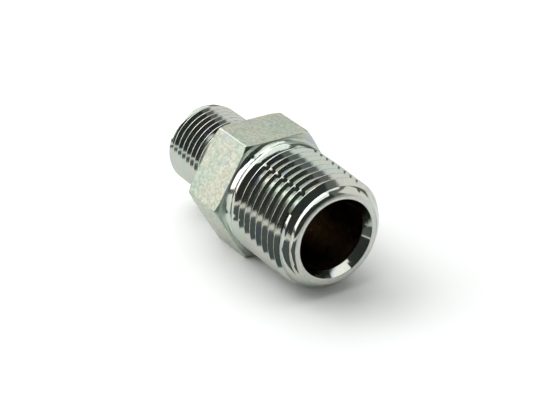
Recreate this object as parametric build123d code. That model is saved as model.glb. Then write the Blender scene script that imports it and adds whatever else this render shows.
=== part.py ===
"""Reducing hex nipple: one solid turned from hexagon bar, with a male thread at each end.

Millimetres. +X runs along the bore axis towards the large end, +Z is up. The origin is the
middle of the hex flat that the nipple rests on, so the bore axis is half the hex above it.
"""

from build123d import *

import math
import os

# Hexagon
hex_across_flats = 22.225
hex_length = 9.7
hex_corner_radius = 0.35
hex_chamfer_angle = 30.0
hex_face_diameter = 24.0

# Large end: taper pipe thread, 14 turns to the inch
large_length = 18.7
large_pitch = 25.4 / 14
large_tip_diameter = 20.72
large_limit_diameter = 21.34
large_taper = 1 / 16
large_thread_depth = 0.72 * large_pitch
large_crest_flat = 0.10 * large_pitch
large_flank_angle = 30.0
large_neck = 1.2
large_chamfer = 2.0
large_start_angle = -20.0

# Small end: parallel thread of 1.5 mm pitch
small_length = 16.2
small_pitch = 1.5
small_diameter = 15.9
small_thread_depth = 0.62 * small_pitch
small_crest_flat = 0.14 * small_pitch
small_flank_angle = 30.0
small_neck = 1.2
small_chamfer = 1.1
small_start_angle = 110.0

# Waterway
large_bore_diameter = 13.0
small_bore_diameter = 10.0
large_mouth_diameter = large_bore_diameter + 1.9
small_mouth_diameter = small_bore_diameter + 1.6
seat_angle = 30.0
drill_point_angle = 59.0
large_bore_depth = 24.5

# Thread cutter
cutter_clearance = 0.12
runout_turns = 1.25
turns_per_piece = 0.5
points_per_piece = 12

hex_front = hex_length / 2
hex_back = -hex_length / 2
large_end = hex_front + large_length
small_end = hex_back - small_length
bore_step = large_end - large_bore_depth


def turned(points):
    """Solid of revolution about X of a closed outline of (x, radius) points."""
    outline = make_face(Polyline(*points, close=True))
    return revolve(outline, axis=Axis.X)


def crest_radius(from_end, tip_diameter, taper, limit_diameter):
    """Radius of the thread's crest, at a distance from the end face."""
    return min(tip_diameter + from_end * taper, limit_diameter) / 2


def hexagon():
    """Hex bar with rounded corners, both faces chamfered by the same cone."""
    bar = extrude(
        Plane.YZ * RegularPolygon(hex_across_flats / 2, 6, major_radius=False, rotation=0),
        hex_length / 2,
        both=True,
    )
    bar = fillet(bar.edges().filter_by(Axis.X), hex_corner_radius)
    face_radius = hex_face_diameter / 2
    outer_radius = hex_across_flats * 0.6
    drop = (outer_radius - face_radius) * math.tan(math.radians(hex_chamfer_angle))
    cone = turned(
        [
            (hex_back, 0),
            (hex_back, face_radius),
            (hex_back + drop, outer_radius),
            (hex_front - drop, outer_radius),
            (hex_front, face_radius),
            (hex_front, 0),
        ]
    )
    return bar & cone


def large_blank():
    """Large end before threading: a taper up to the limit diameter, chamfered at its end."""
    end_radius = crest_radius(large_chamfer, large_tip_diameter, large_taper, large_limit_diameter)
    limit_from_end = (large_limit_diameter - large_tip_diameter) / large_taper
    return turned(
        [
            (0, 0),
            (0, large_limit_diameter / 2),
            (large_end - limit_from_end, large_limit_diameter / 2),
            (large_end - large_chamfer, end_radius),
            (large_end, end_radius - large_chamfer),
            (large_end, 0),
        ]
    )


def small_blank():
    """Small end before threading: a plain cylinder, chamfered at its end."""
    radius = small_diameter / 2
    return turned(
        [
            (0, 0),
            (0, radius),
            (small_end + small_chamfer, radius),
            (small_end, radius - small_chamfer),
            (small_end, 0),
        ]
    )


def waterway():
    """Stepped bore: a seat cone at each mouth, and a drill point where the bores meet."""
    past = 1.0
    large_radius = large_bore_diameter / 2
    small_radius = small_bore_diameter / 2
    large_mouth = large_mouth_diameter / 2
    small_mouth = small_mouth_diameter / 2
    seat_slope = math.tan(math.radians(seat_angle))
    large_seat = (large_mouth - large_radius) / seat_slope
    small_seat = (small_mouth - small_radius) / seat_slope
    point = (large_radius - small_radius) / math.tan(math.radians(drill_point_angle))
    return turned(
        [
            (small_end - past, 0),
            (small_end - past, small_mouth + past * seat_slope),
            (small_end + small_seat, small_radius),
            (bore_step - point, small_radius),
            (bore_step, large_radius),
            (large_end - large_seat, large_radius),
            (large_end + past, large_mouth + past * seat_slope),
            (large_end + past, 0),
        ]
    )


def thread_cutter(end, inward, length, neck, pitch, depth, crest_flat, flank_angle, start_angle, crest):
    """Helical groove of trapezoid section that starts past the end face and runs out at the neck.

    The four edges of the groove are right-hand helices: their points step along X by the pitch
    in each turn, at the crest's radius or at the root's. Over the last turns the root rises to
    the crest, so that the groove fades out as a turned thread does. The groove comes as a row of
    half-turn solids that share their end sections.
    """
    slope = math.tan(math.radians(flank_angle))
    full_depth = depth + cutter_clearance
    full_width = pitch - crest_flat + 2 * cutter_clearance * slope
    turns = (length - neck) / pitch + 1

    def section(turn):
        """The groove's four corners after that many turns, counted from one pitch outside."""
        from_end = (turn - 1) * pitch
        fade = min(1.0, (turns - turn) / runout_turns)
        cut = max(full_depth * fade, cutter_clearance / 2)
        top_radius = crest(from_end) + cutter_clearance
        half_top = full_width / 2 - (full_depth - cut) * slope
        half_root = half_top - cut * slope
        angle = math.radians(start_angle) - inward * turn * 2 * math.pi
        corners = [
            (top_radius - cut, -half_root),
            (top_radius - cut, half_root),
            (top_radius, half_top),
            (top_radius, -half_top),
        ]
        return [
            Vector(end - inward * from_end + shift, radius * math.cos(angle), radius * math.sin(angle))
            for radius, shift in corners
        ]

    pieces = []
    count = math.ceil(turns / turns_per_piece)
    for k in range(count):
        first = turns * k / count
        last = turns * (k + 1) / count
        stations = [first + (last - first) * i / points_per_piece for i in range(points_per_piece + 1)]
        step = (last - first) / 1000
        starts = zip(section(first), section(first + step))
        ends = zip(section(last - step), section(last))
        tangents = [((b - a).normalized(), (d - c).normalized()) for (a, b), (c, d) in zip(starts, ends)]
        tracks = zip(*[section(turn) for turn in stations])
        curves = [Edge.make_spline(points, tangents=pair) for points, pair in zip(tracks, tangents)]
        sides = [Face.make_surface_from_curves(a, b) for a, b in zip(curves, curves[1:] + curves[:1])]
        caps = [Face(Wire.make_polygon([curve @ at for curve in curves])) for at in (0, 1)]
        pieces.append(Solid(Shell(sides + caps)))
    return pieces


def large_crest(from_end):
    return crest_radius(from_end, large_tip_diameter, large_taper, large_limit_diameter)


def small_crest(from_end):
    return small_diameter / 2


def nipple_body():
    """The whole nipple, moved up so that its lowest hex flat is at Z = 0."""
    large_cutter = thread_cutter(
        large_end, 1, large_length, large_neck, large_pitch, large_thread_depth,
        large_crest_flat, large_flank_angle, large_start_angle, large_crest,
    )
    small_cutter = thread_cutter(
        small_end, -1, small_length, small_neck, small_pitch, small_thread_depth,
        small_crest_flat, small_flank_angle, small_start_angle, small_crest,
    )
    # fuse and cut leave the seams of the thread's faces where they are, so that the mesh stays closed.
    body = hexagon().fuse(large_blank().cut(*large_cutter), small_blank().cut(*small_cutter))
    body = body.cut(waterway())
    return body.moved(Location((0, 0, hex_across_flats / 2)))


os.makedirs("parts", exist_ok=True)
parts = {"nipple_body": nipple_body()}
for name, shape in parts.items():
    solid = shape.solids()[0]
    print(name, "solids", len(shape.solids()), "volume", round(solid.volume, 1), "valid", solid.is_valid)
    export_step(solid, os.path.join("parts", name + ".step"))
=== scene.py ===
import math

import bmesh
import bpy
import numpy as np
from mathutils import Matrix, Vector


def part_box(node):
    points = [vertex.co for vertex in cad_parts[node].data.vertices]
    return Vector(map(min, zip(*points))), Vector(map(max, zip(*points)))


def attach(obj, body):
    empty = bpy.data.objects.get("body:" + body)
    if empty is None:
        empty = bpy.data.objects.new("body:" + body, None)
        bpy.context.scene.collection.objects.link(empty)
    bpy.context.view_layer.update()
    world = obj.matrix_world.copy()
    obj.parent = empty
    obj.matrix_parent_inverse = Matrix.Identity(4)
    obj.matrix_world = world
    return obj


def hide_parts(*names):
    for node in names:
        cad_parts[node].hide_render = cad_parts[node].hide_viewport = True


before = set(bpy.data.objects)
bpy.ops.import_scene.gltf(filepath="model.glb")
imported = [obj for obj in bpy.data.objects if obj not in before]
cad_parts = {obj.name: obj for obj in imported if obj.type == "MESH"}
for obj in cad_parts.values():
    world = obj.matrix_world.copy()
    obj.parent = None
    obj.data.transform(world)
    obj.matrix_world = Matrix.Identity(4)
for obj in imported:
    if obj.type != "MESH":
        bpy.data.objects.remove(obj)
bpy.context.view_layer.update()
print("frame loaded:", sorted(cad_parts))

mm = 0.001
low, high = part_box("nipple_body")
axisHeight = (low.z + high.z) / 2

# Everything a user would change on the nipple, in millimetres and degrees.
nipple = {
    "acrossFlats": 22.225,
    "hexLength": 9.7,
    "cornerRadius": 0.35,
    "hexFaceDiameter": 24.0,
    "hexChamferAngle": 30.0,
    "flatBreak": 0.1,
    "columnsPerFlat": 24,
    "columnsPerCorner": 5,
    "edgeRound": 0.12,
    "neckRound": 0.12,
    "boreRound": 0.1,
    "stepRound": 0.3,
    "drillRound": 0.05,
    "mouthRound": 0.08,
    "tipRound": 0.1,
    "stepsPerRound": 3,
    "largeBore": 13.0,
    "smallBore": 10.0,
    "largeMouth": 14.9,
    "smallMouth": 11.6,
    "seatAngle": 30.0,
    "drillPointAngle": 59.0,
    "largeBoreDepth": 24.5,
}

# One dictionary for each thread: depths and widths are shares of the pitch.
largeThread = {
    "pitch": 25.4 / 14,
    "tipDiameter": 20.72,
    "limitDiameter": 21.34,
    "taper": 1 / 16,
    "depth": 0.72,
    "crestFlat": 0.10,
    "flankAngle": 30.0,
    "neck": 1.2,
    "chamfer": 2.0,
    "startAngle": -20.0,
    "leansWith": -1,
    "runoutTurns": 1.25,
    "crestRound": 0.05,
    "rootRound": 0.16,
}

smallThread = {
    "pitch": 1.5,
    "tipDiameter": 15.9,
    "limitDiameter": 15.9,
    "taper": 0.0,
    "depth": 0.62,
    "crestFlat": 0.14,
    "flankAngle": 30.0,
    "neck": 1.2,
    "chamfer": 1.1,
    "startAngle": 110.0,
    "leansWith": 1,
    "runoutTurns": 1.25,
    "crestRound": 0.05,
    "rootRound": 0.16,
}

sixth = math.radians(60)
hexFront = nipple["hexLength"] / 2
hexBack = -nipple["hexLength"] / 2
largeEnd = high.x / mm
smallEnd = low.x / mm


def columnAngles():
    # Angles about the bore axis, from +Y towards +Z: even steps over each flat, and a few over
    # each rounded corner.
    inner = nipple["acrossFlats"] / 2 - nipple["cornerRadius"]
    tangent = math.atan(inner * math.tan(sixth / 2) / (nipple["acrossFlats"] / 2))
    half = sixth / 2 - tangent
    angles = []
    for k in range(6):
        corner = k * sixth
        nextCorner = corner + sixth
        flat = np.linspace(corner + half, nextCorner - half, nipple["columnsPerFlat"] + 1)
        rounded = np.linspace(nextCorner - half, nextCorner + half, nipple["columnsPerCorner"])
        angles += [flat[:-1], rounded[:-1]]
    return np.append(np.concatenate(angles), 2 * math.pi + half)


def hexRadius(angles):
    # Distance from the axis to a hexagon with rounded corners: half the width over the cosine of
    # the angle from the flat's middle, and near a corner the far crossing with the corner's circle.
    half = nipple["acrossFlats"] / 2
    inner = half - nipple["cornerRadius"]
    fromFlat = np.mod(angles, sixth) - sixth / 2
    flat = half / np.cos(fromFlat)
    centre = inner / math.cos(sixth / 2)
    fromCorner = sixth / 2 - np.abs(fromFlat)
    inside = np.maximum(nipple["cornerRadius"] ** 2 - (centre * np.sin(fromCorner)) ** 2, 0)
    corner = centre * np.cos(fromCorner) + np.sqrt(inside)
    tangent = math.atan(inner * math.tan(sixth / 2) / half)
    return np.where(np.abs(fromFlat) > tangent, corner, flat)


def ring(x, radius, angles):
    # One closed ring of the outline: place along the axis and radius, for every column.
    shape = np.zeros(len(angles))
    return np.stack([shape + x, shape + radius], axis=1)


def threadRings(thread, length, angles):
    # Rings of a threaded end as (distance from the end face, radius), each with its rounding.
    # The blank's radius is the smaller of the 45 degree chamfer cone and the tapered crest. Each
    # groove is a trapezoid whose middle moves by one pitch a turn; its edges are where its flanks
    # meet the blank.
    pitch = thread["pitch"]
    depth = thread["depth"] * pitch
    slope = math.tan(math.radians(thread["flankAngle"]))
    halfRoot = pitch * (1 - thread["crestFlat"]) / 2 - depth * slope

    def crest(d):
        return np.minimum(thread["tipDiameter"] + d * thread["taper"], thread["limitDiameter"]) / 2

    chamferEdge = thread["chamfer"]
    tipRadius = crest(chamferEdge) - chamferEdge

    def blank(d):
        return np.minimum(tipRadius + d, crest(d))

    turnAtNeck = (length - thread["neck"]) / pitch
    shift = thread["leansWith"] * (angles - math.radians(thread["startAngle"])) / (2 * math.pi)
    first = math.floor(-1 - shift.max())
    last = math.ceil(length / pitch + 1 - shift.min())
    grooves = []
    for n in range(first, last + 1):
        middle = pitch * (shift + n)
        fade = np.clip((turnAtNeck - middle / pitch) / thread["runoutTurns"], 0, 1)
        rootRadius = crest(middle) - depth * fade
        edges = []
        for side in (-1, 1):
            d = middle + side * halfRoot
            # The edge lies where the flank meets the blank, found by repeating this step.
            for step in range(40):
                d = middle + side * (halfRoot + slope * np.maximum(blank(d) - rootRadius, 0))
            edges.append(np.clip(d, 0, length))
        roots = [np.clip(middle + side * halfRoot, 0, length) for side in (-1, 1)]
        grooves.append((edges[0], roots[0], roots[1], edges[1], rootRadius))
    rings = []
    before = np.zeros(len(angles))
    for outerEdge, outerRoot, innerRoot, innerEdge, rootRadius in grooves:
        kink = np.clip(chamferEdge, before, outerEdge)
        for d, radius, size in (
            (kink, blank(kink), thread["crestRound"]),
            (outerEdge, blank(outerEdge), thread["crestRound"]),
            (outerRoot, np.minimum(rootRadius, blank(outerRoot)), thread["rootRound"]),
            (innerRoot, np.minimum(rootRadius, blank(innerRoot)), thread["rootRound"]),
            (innerEdge, blank(innerEdge), thread["crestRound"]),
        ):
            rings.append((np.stack([d, radius], axis=1), size))
        before = innerEdge
    return rings, tipRadius, float(crest(length))


def roundedRings(controls, steps):
    # Replaces each corner of the closed outline by a parabola that leaves both arms at the
    # corner's rounding.
    rows, zones = [], []
    count = len(controls)
    for i, (corner, size, zone) in enumerate(controls):
        before = controls[i - 1][0]
        after = controls[(i + 1) % count][0]
        armIn = before - corner
        armOut = after - corner
        lengthIn = np.linalg.norm(armIn, axis=1, keepdims=True)
        lengthOut = np.linalg.norm(armOut, axis=1, keepdims=True)
        reach = np.minimum(size, 0.45 * np.minimum(lengthIn, lengthOut))
        start = corner + armIn / np.maximum(lengthIn, 1e-9) * reach
        stop = corner + armOut / np.maximum(lengthOut, 1e-9) * reach
        for t in np.linspace(0, 1, steps):
            rows.append((1 - t) ** 2 * start + 2 * t * (1 - t) * corner + t ** 2 * stop)
            zones.append(zone)
    return np.array(rows), np.array(zones)


def nippleOutline(angles):
    # The closed outline, ring by ring, each with its rounding and finish: through the bore, round
    # the large end, over the hexagon and back by the small end.
    seat = math.tan(math.radians(nipple["seatAngle"]))
    largeBore, smallBore = nipple["largeBore"] / 2, nipple["smallBore"] / 2
    largeMouth, smallMouth = nipple["largeMouth"] / 2, nipple["smallMouth"] / 2
    boreStep = largeEnd - nipple["largeBoreDepth"]
    point = (largeBore - smallBore) / math.tan(math.radians(nipple["drillPointAngle"]))
    # The cone that chamfers the hexagon's ends only reaches its corners, so the flats get a fine break.
    side = hexRadius(angles)
    faceRadius = np.minimum(nipple["hexFaceDiameter"] / 2, side - nipple["flatBreak"])
    drop = (side - faceRadius) * math.tan(math.radians(nipple["hexChamferAngle"]))
    edge = nipple["edgeRound"]
    largeSeat = largeEnd - (largeMouth - largeBore) / seat
    smallSeat = smallEnd + (smallMouth - smallBore) / seat
    # The corners of the hexagon's chamfers: on the end faces, then on the sides.
    frontRim = np.stack([np.full_like(side, hexFront), faceRadius], axis=1)
    backRim = np.stack([np.full_like(side, hexBack), faceRadius], axis=1)
    frontSide = np.stack([hexFront - drop, side], axis=1)
    backSide = np.stack([hexBack + drop, side], axis=1)
    largeRings, largeTip, largeNeck = threadRings(largeThread, largeEnd - hexFront, angles)
    smallRings, smallTip, smallNeck = threadRings(smallThread, hexBack - smallEnd, angles)
    controls = [
        (ring(boreStep - point, smallBore, angles), nipple["drillRound"], "bore"),
        (ring(boreStep, largeBore, angles), nipple["stepRound"], "bore"),
        (ring(largeSeat, largeBore, angles), nipple["boreRound"], "seat"),
        (ring(largeEnd, largeMouth, angles), nipple["mouthRound"], "face"),
        (ring(largeEnd, largeTip, angles), nipple["tipRound"], "thread"),
    ]
    for place, size in largeRings:
        controls.append((place * [-1, 1] + [largeEnd, 0], size, "thread"))
    controls += [
        (ring(hexFront, largeNeck, angles), nipple["neckRound"], "chamfer"),
        (frontRim, edge, "chamfer"),
        (frontSide, edge, "hex"),
        (backSide, edge, "chamfer"),
        (backRim, edge, "chamfer"),
        (ring(hexBack, smallNeck, angles), nipple["neckRound"], "thread"),
    ]
    for place, size in reversed(smallRings):
        controls.append((place + [smallEnd, 0], size, "thread"))
    controls += [
        (ring(smallEnd, smallTip, angles), nipple["tipRound"], "face"),
        (ring(smallEnd, smallMouth, angles), nipple["mouthRound"], "seat"),
        (ring(smallSeat, smallBore, angles), nipple["boreRound"], "bore"),
    ]
    return controls


def buildNipple(materials):
    angles = columnAngles()
    rows, zones = roundedRings(nippleOutline(angles), nipple["stepsPerRound"])
    rowCount, columnCount = rows.shape[0], rows.shape[1]
    x = rows[:, :, 0]
    radius = rows[:, :, 1]
    y = radius * np.cos(angles)
    z = radius * np.sin(angles) + axisHeight / mm
    points = np.stack([x, y, z], axis=2).reshape(-1, 3) * mm
    i, j = np.meshgrid(np.arange(rowCount), np.arange(columnCount - 1), indexing="ij")
    i, j = i.ravel(), j.ravel()
    k = (i + 1) % rowCount
    thisRow, nextRow = i * columnCount + j, k * columnCount + j
    quads = np.stack([thisRow, nextRow, nextRow + 1, thisRow + 1], axis=1)
    order = list(materials)
    slots = np.array([order.index(zone) for zone in zones])[i]
    mesh = bpy.data.meshes.new("hexNipple")
    mesh.from_pydata(points, [], quads)
    lengths = np.linalg.norm(np.diff(rows, axis=0, append=rows[:1]), axis=2).mean(axis=1)
    along = np.append(0, np.cumsum(lengths))
    around = angles / (2 * math.pi)
    # The map's U goes once round the axis and its V along the outline, 50 mm to one unit.
    steps = ((0, 0), (1, 0), (1, 1), (0, 1))
    corners = [np.stack([around[j + dj], along[i + di] / 50], axis=1) for di, dj in steps]
    turning = mesh.uv_layers.new(name="turning")
    turning.data.foreach_set("uv", np.stack(corners, axis=1).reshape(-1))
    mesh.polygons.foreach_set("material_index", slots.astype(np.int32))
    piece = bpy.data.objects.new("hexNipple", mesh)
    bpy.context.scene.collection.objects.link(piece)
    work = bmesh.new()
    work.from_mesh(mesh)
    bmesh.ops.remove_doubles(work, verts=work.verts, dist=2e-7)
    if work.calc_volume(signed=True) < 0:
        bmesh.ops.reverse_faces(work, faces=work.faces)
    openEdges = sum(1 for e in work.edges if len(e.link_faces) != 2)
    print("open edges:", openEdges, "volume mm3:", round(work.calc_volume() / mm ** 3, 1))
    work.to_mesh(mesh)
    work.free()
    for zone in order:
        mesh.materials.append(materials[zone])
    mesh.shade_smooth()
    weighted = piece.modifiers.new("faceWeightedNormals", "WEIGHTED_NORMAL")
    weighted.weight = 50
    triangles = sum(len(p.vertices) - 2 for p in mesh.polygons)
    print("nipple mesh:", len(mesh.vertices), "points,", triangles, "triangles")
    return piece


def addNode(tree, kind, **values):
    # Makes a node. A value goes to the input socket of that name when there is one, or else to the
    # node's own setting.
    node = tree.nodes.new(kind)
    for name, value in values.items():
        if name in node.inputs:
            node.inputs[name].default_value = value
        else:
            setattr(node, name, value)
    return node


def mixColours(tree, factor, first, second, kind="MIX"):
    mix = tree.nodes.new("ShaderNodeMix")
    mix.data_type = "RGBA"
    mix.blend_type = kind
    for socket, value in ((mix.inputs[0], factor), (mix.inputs[6], first), (mix.inputs[7], second)):
        if isinstance(value, bpy.types.NodeSocket):
            tree.links.new(value, socket)
        elif isinstance(value, (int, float)):
            socket.default_value = value
        else:
            socket.default_value = (*value, 1)
    return mix.outputs[2]


def maths(tree, operation, first, second=0.0, clamp=False):
    node = addNode(tree, "ShaderNodeMath", operation=operation, use_clamp=clamp)
    for socket, value in ((node.inputs[0], first), (node.inputs[1], second)):
        if isinstance(value, bpy.types.NodeSocket):
            tree.links.new(value, socket)
        else:
            socket.default_value = value
    return node.outputs[0]


def spread(tree, value, fromLow, fromHigh, toLow, toHigh):
    node = addNode(tree, "ShaderNodeMapRange", interpolation_type="SMOOTHSTEP")
    tree.links.new(value, node.inputs["Value"])
    limits = {"From Min": fromLow, "From Max": fromHigh, "To Min": toLow, "To Max": toHigh}
    for name, number in limits.items():
        node.inputs[name].default_value = number
    return node.outputs["Result"]


def noise(tree, place, scale, detail=2.0, roughness=0.5):
    node = addNode(tree, "ShaderNodeTexNoise", Scale=scale, Detail=detail, Roughness=roughness)
    tree.links.new(place, node.inputs["Vector"])
    return node.outputs["Fac"]


def platedZinc(name, finish):
    material = bpy.data.materials.new(name)
    material.use_nodes = True
    tree = material.node_tree
    link = tree.links.new
    shader = tree.nodes["Principled BSDF"]
    shader.inputs["Metallic"].default_value = 1
    coordinate = tree.nodes.new("ShaderNodeTexCoord")
    # Object coordinates moved to the bore axis and read in millimetres.
    toAxis = (0, 0, -axisHeight / mm)
    place = addNode(tree, "ShaderNodeMapping", Location=toAxis, Scale=(1 / mm, 1 / mm, 1 / mm))
    link(coordinate.outputs["Object"], place.inputs["Vector"])
    point = place.outputs["Vector"]
    parts = tree.nodes.new("ShaderNodeSeparateXYZ")
    link(point, parts.inputs[0])
    ySquared = maths(tree, "POWER", parts.outputs["Y"], 2.0)
    zSquared = maths(tree, "POWER", parts.outputs["Z"], 2.0)
    across = maths(tree, "SQRT", maths(tree, "ADD", ySquared, zSquared))
    turned = tree.nodes.new("ShaderNodeCombineXYZ")
    link(parts.outputs["X"], turned.inputs["X"])
    link(across, turned.inputs["Y"])
    # Passivation film: broad clouds of pale green, tan and cool grey. In the bore these tints are
    # darkened as painted shade.
    clouds = noise(tree, point, finish["cloudScale"], 3.0, 0.55)
    second = noise(tree, point, finish["cloudScale"] * 2.3, 2.0, 0.5)
    towardsTan = spread(tree, clouds, 0.35, 0.6, 0, 1)
    towardsCool = spread(tree, second, 0.5, 0.72, 0, 1)
    colour = mixColours(tree, towardsTan, finish["tintGreen"], finish["tintTan"])
    colour = mixColours(tree, towardsCool, colour, finish["tintCool"])
    # Crystals of the plating, each a little lighter or darker.
    crystals = addNode(tree, "ShaderNodeTexVoronoi", Scale=finish["crystalScale"], Randomness=1.0)
    link(point, crystals.inputs["Vector"])
    shade = tree.nodes.new("ShaderNodeSeparateColor")
    link(crystals.outputs["Color"], shade.inputs[0])
    crystal = shade.outputs[0]
    lightness = mixColours(tree, crystal, (0.25, 0.26, 0.24), (1, 1, 1))
    colour = mixColours(tree, finish["crystalDepth"], colour, lightness, "MULTIPLY")
    link(colour, shader.inputs["Base Color"])
    # Tool marks: rings about the bore axis, read from the place along it and distance from it.
    rings = noise(tree, turned.outputs[0], finish["ringScale"], 3.0, 0.7)
    grain = noise(tree, point, finish["grainScale"], 4.0, 0.6)
    smear = noise(tree, point, 1.1, 2.0, 0.5)
    # Roughness: the grain about its mean, then broad smears about theirs.
    spreadWidth = finish["roughnessSpread"]
    fine = maths(tree, "MULTIPLY", grain, spreadWidth)
    roughness = maths(tree, "ADD", fine, finish["roughness"] - spreadWidth / 2)
    broad = maths(tree, "MULTIPLY", maths(tree, "SUBTRACT", smear, 0.5), spreadWidth)
    roughness = maths(tree, "ADD", roughness, broad, True)
    link(roughness, shader.inputs["Roughness"])
    # Relief: tool rings, grain and crystals, added up in hundredths of a millimetre.
    ringHeight = maths(tree, "MULTIPLY", rings, finish["ringDepth"])
    grainHeight = maths(tree, "MULTIPLY", grain, finish["grainDepth"])
    height = maths(tree, "ADD", ringHeight, grainHeight)
    height = maths(tree, "ADD", height, maths(tree, "MULTIPLY", crystal, finish["crystalHeight"]))
    bump = addNode(tree, "ShaderNodeBump", Strength=1.0, Distance=0.00001)
    link(height, bump.inputs["Height"])
    link(bump.outputs["Normal"], shader.inputs["Normal"])
    return material


# Depths are in hundredths of a millimetre, scales in cells or waves a millimetre.
turnedFinish = {
    "tintGreen": (0.50, 0.56, 0.49),
    "tintTan": (0.56, 0.55, 0.49),
    "tintCool": (0.49, 0.52, 0.55),
    "cloudScale": 0.16,
    "crystalScale": 6.0,
    "crystalDepth": 0.10,
    "crystalHeight": 0.0,
    "ringScale": 9.0,
    "ringDepth": 0.5,
    "grainScale": 4.0,
    "grainDepth": 0.3,
    "roughness": 0.10,
    "roughnessSpread": 0.06,
}
hexFinish = dict(
    turnedFinish,
    tintGreen=(0.49, 0.56, 0.46),
    tintTan=(0.57, 0.57, 0.47),
    tintCool=(0.50, 0.54, 0.51),
    crystalScale=2.6,
    crystalDepth=0.42,
    crystalHeight=1.0,
    ringDepth=0.0,
    grainDepth=2.4,
    roughness=0.42,
    roughnessSpread=0.26,
)
faceFinish = dict(
    turnedFinish,
    tintGreen=(0.60, 0.64, 0.58),
    tintTan=(0.66, 0.66, 0.60),
    tintCool=(0.60, 0.63, 0.62),
    crystalScale=7.0,
    crystalDepth=0.25,
    crystalHeight=0.4,
    ringScale=7.0,
    ringDepth=1.6,
    grainScale=7.0,
    grainDepth=1.0,
    roughness=0.34,
    roughnessSpread=0.16,
)
seatFinish = dict(
    turnedFinish,
    ringScale=6.0,
    ringDepth=0.5,
    roughness=0.08,
    roughnessSpread=0.06,
)
# The bore's tints are painted shade: they sit far darker than the other finishes to stand for the
# dimness inside the hole, with a faint warm cast.
boreShadeFinish = dict(
    turnedFinish,
    tintGreen=(0.17, 0.15, 0.12),
    tintTan=(0.30, 0.20, 0.10),
    tintCool=(0.12, 0.11, 0.10),
    crystalDepth=0.3,
    ringDepth=1.0,
    grainDepth=1.5,
    roughness=0.32,
    roughnessSpread=0.2,
)
chamferFinish = dict(
    turnedFinish,
    tintGreen=(0.44, 0.54, 0.46),
    tintTan=(0.50, 0.55, 0.47),
    ringScale=5.0,
    ringDepth=0.8,
    roughness=0.3,
    roughnessSpread=0.12,
)

materials = {
    "chamfer": platedZinc("turnedChamfer", chamferFinish),
    "hex": platedZinc("satinFlats", hexFinish),
    "thread": platedZinc("turnedThread", turnedFinish),
    "face": platedZinc("facedEnd", faceFinish),
    "seat": platedZinc("glossySeat", seatFinish),
    # The bore's material carries painted shade in its darkened colours.
    "bore": platedZinc("paintedShadeBore", boreShadeFinish),
}
print("finishes made:", len(materials))
piece = buildNipple(materials)
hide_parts("nipple_body")
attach(piece, "root")

# Camera: place, aim and upright direction in the model's frame.
camera = {
    "place": (0.225213, -0.144599, 0.148367),
    "aim": (-0.74347, 0.48107, -0.46457),
    "up": (-0.40012, 0.23665, 0.88538),
    "lens": 112.56,
}


def addCamera():
    data = bpy.data.cameras.new("studioCamera")
    data.lens = camera["lens"]
    data.sensor_width = 36
    data.sensor_fit = "HORIZONTAL"
    data.clip_start = 0.01
    data.clip_end = 20
    item = bpy.data.objects.new("studioCamera", data)
    bpy.context.scene.collection.objects.link(item)
    backward = -Vector(camera["aim"]).normalized()
    right = Vector(camera["up"]).cross(backward).normalized()
    up = backward.cross(right)
    turn = Matrix((right, up, backward)).transposed()
    item.matrix_world = Matrix.Translation(Vector(camera["place"])) @ turn.to_4x4()
    bpy.context.scene.camera = item


ground = {"reach": 3, "colour": (0.96, 0.96, 0.96), "roughness": 0.6}


def addFloor():
    reach = ground["reach"]
    mesh = bpy.data.meshes.new("floor")
    corners = [(-reach, -reach, 0), (reach, -reach, 0), (reach, reach, 0), (-reach, reach, 0)]
    mesh.from_pydata(corners, [], [(0, 1, 2, 3)])
    floor = bpy.data.objects.new("floor", mesh)
    bpy.context.scene.collection.objects.link(floor)
    material = bpy.data.materials.new("paleFloor")
    material.use_nodes = True
    shader = material.node_tree.nodes["Principled BSDF"]
    shader.inputs["Base Color"].default_value = (*ground["colour"], 1)
    shader.inputs["Roughness"].default_value = ground["roughness"]
    mesh.materials.append(material)


# Soft boxes by direction from the nipple: azimuth 0 is -Y and 90 is +X. Sizes and distances are
# in metres, and brightness is what a mirror on the nipple would show.
softBoxes = {
    "overhead": {
        "azimuth": 272, "elevation": 76, "distance": 0.8,
        "width": 1.3, "height": 1.1, "brightness": 1.3,
    },
    "rearLeft": {
        "azimuth": 282, "elevation": 46, "distance": 0.7,
        "width": 0.5, "height": 0.36, "brightness": 2.2,
    },
    "left": {
        "azimuth": 324, "elevation": 34, "distance": 0.7,
        "width": 0.46, "height": 0.72, "brightness": 2.5,
    },
    "right": {
        "azimuth": 158, "elevation": 20, "distance": 0.6,
        "width": 0.5, "height": 0.5, "brightness": 0.9,
    },
    "rear": {
        "azimuth": 236, "elevation": 32, "distance": 0.9,
        "width": 0.6, "height": 0.4, "brightness": 0.55,
    },
}
room = {"colour": (0.92, 1.0, 0.94), "brightness": 0.2}

# Dark cards seen only in reflections, as painted shade: one round the camera's side of the nipple
# stands for the unlit surroundings there, and one on the floor beside it is a painted shadow of the
# floor near the nipple. Distances are in metres.
darkCard = {
    "azimuthFrom": 5, "azimuthTo": 114, "elevationFrom": -8, "elevationTo": 62,
    "distance": 0.16, "shade": (0.03, 0.035, 0.032),
}
# The floor card is a painted shadow: a dark sheet beside the nipple that only reflections see.
floorShadowCard = {
    "azimuthFrom": 20, "azimuthTo": 72, "near": 0.027, "far": 0.08,
    "height": 0.0004, "shade": (0.08, 0.1, 0.1),
}


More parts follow.
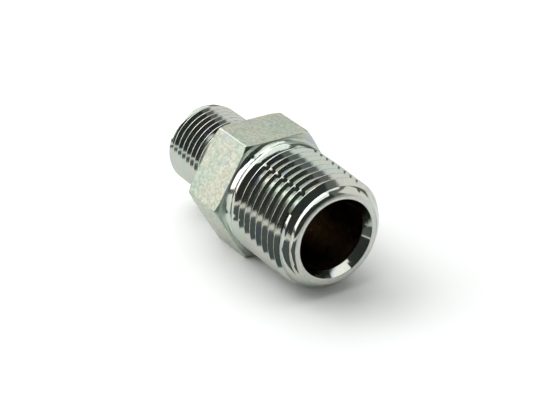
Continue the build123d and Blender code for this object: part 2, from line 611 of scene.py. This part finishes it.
def addCard(name, points, shade):
    # A sheet on an even grid of points, seen only in glossy reflections.
    rows, columns = points.shape[0], points.shape[1]
    i, j = np.meshgrid(np.arange(rows - 1), np.arange(columns - 1), indexing="ij")
    corner = (i * columns + j).ravel()
    mesh = bpy.data.meshes.new(name)
    quads = np.stack([corner, corner + columns, corner + columns + 1, corner + 1], axis=1)
    mesh.from_pydata(points.reshape(-1, 3), [], quads)
    card = bpy.data.objects.new(name, mesh)
    bpy.context.scene.collection.objects.link(card)
    material = bpy.data.materials.new(name + "Felt")
    material.use_nodes = True
    shader = material.node_tree.nodes["Principled BSDF"]
    shader.inputs["Base Color"].default_value = (*shade, 1)
    shader.inputs["Roughness"].default_value = 1
    mesh.materials.append(material)
    card.visible_camera = False
    card.visible_diffuse = False
    card.visible_shadow = False


def addCards():
    # The upright card is part of a sphere, the floor's painted shadow card part of a ring.
    turn, lift = np.meshgrid(
        np.radians(np.linspace(darkCard["azimuthFrom"], darkCard["azimuthTo"], 25)),
        np.radians(np.linspace(darkCard["elevationFrom"], darkCard["elevationTo"], 13)),
        indexing="ij",
    )
    flat = np.cos(lift)
    outward = np.stack([np.sin(turn) * flat, -np.cos(turn) * flat, np.sin(lift)], axis=2)
    addCard("darkCard", outward * darkCard["distance"] + [0, 0, axisHeight], darkCard["shade"])
    turn, reach = np.meshgrid(
        np.radians(np.linspace(floorShadowCard["azimuthFrom"], floorShadowCard["azimuthTo"], 25)),
        np.linspace(floorShadowCard["near"], floorShadowCard["far"], 2),
        indexing="ij",
    )
    height = np.full_like(turn, floorShadowCard["height"])
    lying = np.stack([np.sin(turn) * reach, -np.cos(turn) * reach, height], axis=2)
    # This sheet is a painted shadow on the floor, seen only in reflections.
    addCard("floorShadowCard", lying, floorShadowCard["shade"])


def addLights():
    world = bpy.data.worlds.new("studio")
    bpy.context.scene.world = world
    world.use_nodes = True
    background = world.node_tree.nodes["Background"]
    background.inputs["Color"].default_value = (*room["colour"], 1)
    background.inputs["Strength"].default_value = room["brightness"]
    for name, box in softBoxes.items():
        data = bpy.data.lights.new(name, "AREA")
        data.shape = "RECTANGLE"
        data.size = box["width"]
        data.size_y = box["height"]
        data.energy = box["brightness"] * math.pi * box["width"] * box["height"]
        item = bpy.data.objects.new(name, data)
        bpy.context.scene.collection.objects.link(item)
        turn, lift = math.radians(box["azimuth"]), math.radians(box["elevation"])
        flat = math.cos(lift)
        outward = Vector((math.sin(turn) * flat, -math.cos(turn) * flat, math.sin(lift)))
        place = outward * box["distance"] + Vector((0, 0, axisHeight))
        facing = outward.to_track_quat("Z", "Y").to_matrix().to_4x4()
        item.matrix_world = Matrix.Translation(place) @ facing
        item.visible_camera = False


addCamera()
addFloor()
addCards()
addLights()
bpy.context.scene.view_settings.view_transform = "Standard"
print("camera, floor, cards and", len(softBoxes), "soft boxes placed")
